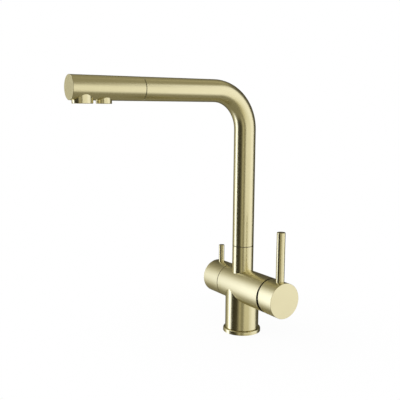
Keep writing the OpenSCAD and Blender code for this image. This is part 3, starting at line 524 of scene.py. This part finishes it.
# The studio: a pale floor, a white surround, and cards that only show in reflections
CARD_STEPS = 24
CARDS_CENTRE = Vector((0, 0, 0.17))
LAMP_AIM = (0.0, -0.05, 0.12)
WHITE = rgb(1.0, 1.0, 1.0)
PAPER = rgb(0.9, 0.9, 0.9)
DAYLIGHT = rgb(0.95, 1.0, 1.2)
PALE = rgb(1.02, 1.0, 0.93)
MILKY = rgb(1.015, 1.01, 1.03)
CREAM = rgb(1.03, 1.0, 0.84)
WARM = rgb(1.08, 1.0, 0.70)
BROWN = rgb(1.12, 1.0, 0.55)


def patch(name, azimuth, elevation, radius):
    """A piece of a sphere round the tap, between two azimuths and two elevations in degrees."""
    points = []
    faces = []
    corners = []
    for j in range(CARD_STEPS + 1):
        for i in range(CARD_STEPS + 1):
            turn = math.radians(azimuth[0] + (azimuth[1] - azimuth[0]) * i / CARD_STEPS)
            rise = math.radians(elevation[0] + (elevation[1] - elevation[0]) * j / CARD_STEPS)
            points.append(CARDS_CENTRE + radius * Vector((
                math.cos(turn) * math.cos(rise), math.sin(turn) * math.cos(rise),
                math.sin(rise))))
    for j in range(CARD_STEPS):
        for i in range(CARD_STEPS):
            k = j * (CARD_STEPS + 1) + i
            faces.append((k, k + CARD_STEPS + 1, k + CARD_STEPS + 2, k + 1))
            corners += [(i, j), (i, j + 1), (i + 1, j + 1), (i + 1, j)]
    mesh = bpy.data.meshes.new(name)
    mesh.from_pydata(points, [], faces)
    layer = mesh.uv_layers.new(name="card")
    for loop, (i, j) in zip(layer.data, corners):
        loop.uv = (i / CARD_STEPS, j / CARD_STEPS)
    return mesh


def soft_edge(t, azimuth, elevation, soft):
    """1 on a card, and down to 0 at those of its edges that fade."""
    u, v, _ = t.separate(t.place("UV"))
    edge = 1.0
    for value, span, fade in ((u, azimuth[1] - azimuth[0], soft[0:2]),
                              (v, elevation[1] - elevation[0], soft[2:4])):
        for side, width in ((value, fade[0]), (t.math("SUBTRACT", 1.0, value), fade[1])):
            if width > 0:
                near = t.ranged(side, 0.0, width / span, 0.0, 1.0, smooth=True)
                edge = t.math("MULTIPLY", edge, near)
    return edge


def card(name, azimuth, elevation, level, tint, soft, radius):
    """A reflector or a dark flag that only shows in reflections.

    Its azimuths and elevations are in degrees, its radius is in metres and its level is its
    brightness. Soft gives the degrees over which the low and high azimuth and the low and
    high elevation fade out."""
    t = surface(name)
    t.show(t.blend(soft_edge(t, azimuth, elevation, soft),
                   t.node("ShaderNodeBsdfTransparent").outputs[0],
                   t.light("ShaderNodeEmission", level, tint)))
    made = add(name, patch(name, azimuth, elevation, radius))
    made.data.materials.append(t.owner)
    made.visible_camera = False
    made.visible_diffuse = False
    made.visible_shadow = False
    made.visible_transmission = False
    made.visible_volume_scatter = False


card("far_wall_left", (64, 205), (-60, 60), 0.22, WARM, (14, 20, 0, 0), 3.4)
card("far_wall_right", (-178, -60), (-60, 60), 0.33, WARM, (8, 6, 0, 0), 3.4)
card("near_wall_right", (-68, -22), (-60, 60), 0.22, WARM, (4, 5, 0, 0), 3.3)
card("strip_right", (-59, -42), (-60, 60), 0.50, WARM, (6, 6, 0, 0), 3.25)
card("bright_wall_right", (16, 72), (-60, 60), 1.05, MILKY, (20, 5, 0, 0), 3.38)
card("pale_wall_right", (-27, 38), (-60, 60), 0.88, PALE, (2, 20, 0, 0), 3.35)
card("low_wall_right", (-27, 22), (-60, -4), 0.56, WARM, (2, 14, 0, 26), 3.3)
card("flag_left", (67, 180), (-60, 60), 0.075, WARM, (14, 22, 0, 0), 3.2)
card("flag_right", (-118, -62), (-60, 60), 0.03, BROWN, (5, 8, 0, 0), 3.1)
card("ceiling", (-180, 180), (32, 90), 0.28, WARM, (0, 0, 18, 0), 2.8)
card("ceiling_strip", (84, 112), (44, 78), 0.44, WARM, (10, 10, 8, 8), 2.6)
card("ceiling_right", (-10, 37), (12, 60), 0.28, WARM, (10, 16, 26, 0), 2.85)
card("ground", (-180, 180), (-90, -22), 0.22, WARM, (0, 0, 0, 22), 2.8)
card("key", (-146.5, -115.5), (-56, 71), 1.98, DAYLIGHT, (10, 9, 34, 46), 2.7)
card("key_wing", (-168, -134), (-60, 56), 0.62, CREAM, (24, 4, 20, 20), 2.75)


def surround():
    """White for the camera, in reflections and through clear parts, and soft light elsewhere."""
    soft_light = 0.7
    world = bpy.data.worlds.new("studio")
    t = Tree(world, "ShaderNodeOutputWorld")
    ray = t.node("ShaderNodeLightPath").outputs
    seen = t.math("MAXIMUM", ray["Is Camera Ray"], ray["Is Glossy Ray"])
    seen = t.math("MAXIMUM", seen, ray["Is Transmission Ray"])
    t.show(t.blend(seen, t.light("ShaderNodeBackground", soft_light, WHITE),
                   t.light("ShaderNodeBackground", 1.0, WHITE)))
    bpy.context.scene.world = world


def floor():
    """A pale disc under the tap. It runs out into the white surround and keeps a soft shadow."""
    radius = 300 * MM
    sides = 96
    drop = 0.3 * MM
    fade_from = 60 * MM
    fade_to = 0.96 * radius
    least_glow = 0.95
    points = [(0.0, 0.0, 0.0)]
    points += [(radius * math.cos(2 * math.pi * i / sides),
                radius * math.sin(2 * math.pi * i / sides), 0.0) for i in range(sides)]
    mesh = bpy.data.meshes.new("floor")
    mesh.from_pydata(points, [], [(0, i + 1, (i + 1) % sides + 1) for i in range(sides)])
    made = add("floor", mesh)
    made.location = (0.0, 0.0, -drop)
    t = surface("pale_floor")
    away = t.vector("LENGTH", t.place())
    paper = t.node("ShaderNodeBsdfDiffuse")
    paper.inputs["Color"].default_value = PAPER
    t.show(t.blend(t.ranged(away, fade_from, fade_to, least_glow, 1.0, smooth=True),
                   paper.outputs[0], t.light("ShaderNodeEmission", 1.0, WHITE)))
    mesh.materials.append(t.owner)
    made.visible_glossy = False
    made.visible_diffuse = False


def lamp(name, place, size, power):
    """A round soft lamp that neither the camera nor a reflection shows."""
    data = bpy.data.lights.new(name, "AREA")
    data.shape = "DISK"
    data.size = size
    data.energy = power
    made = add(name, data)
    made.location = place
    made.rotation_euler = (Vector(LAMP_AIM) - Vector(place)).to_track_quat("-Z", "Y").to_euler()
    made.visible_glossy = False
    made.visible_camera = False


surround()
floor()
lamp("soft_front", place=(-0.9, -1.5, 1.5), size=1.4, power=16.0)
lamp("soft_side", place=(1.5, -0.6, 1.2), size=1.2, power=8.0)


def camera():
    """The photograph's view: place and aim from the tap's outline in it.

    The azimuth is from the front, and the distance and the height are in metres."""
    azimuth = math.radians(53.241)
    distance = 0.82566
    height = 0.296199
    pitch = math.radians(8.268)
    yaw = math.radians(-3.99)
    roll = math.radians(0.388)
    focal_px = 633.694
    photo_px = 400
    sensor_mm = 36.0
    z_axis = Vector(Z_AXIS)
    ahead = Vector((-math.sin(azimuth), math.cos(azimuth), 0.0))
    aside = Vector((math.cos(azimuth), math.sin(azimuth), 0.0))
    level = math.cos(yaw) * ahead + math.sin(yaw) * aside
    right = math.cos(yaw) * aside - math.sin(yaw) * ahead
    forward = math.cos(pitch) * level - math.sin(pitch) * z_axis
    up = math.cos(pitch) * z_axis + math.sin(pitch) * level
    turned_right = math.cos(roll) * right + math.sin(roll) * up
    turned_up = math.cos(roll) * up - math.sin(roll) * right
    data = bpy.data.cameras.new("camera")
    data.sensor_width = sensor_mm
    data.lens = focal_px / photo_px * sensor_mm
    data.clip_start = 0.01
    made = add("camera", data)
    place = Vector((math.sin(azimuth) * distance, -math.cos(azimuth) * distance, height))
    turn = Matrix((turned_right, turned_up, -forward)).transposed()
    made.matrix_world = Matrix.Translation(place) @ turn.to_4x4()
    bpy.context.scene.camera = made


camera()
bpy.context.scene.view_settings.view_transform = "Standard"
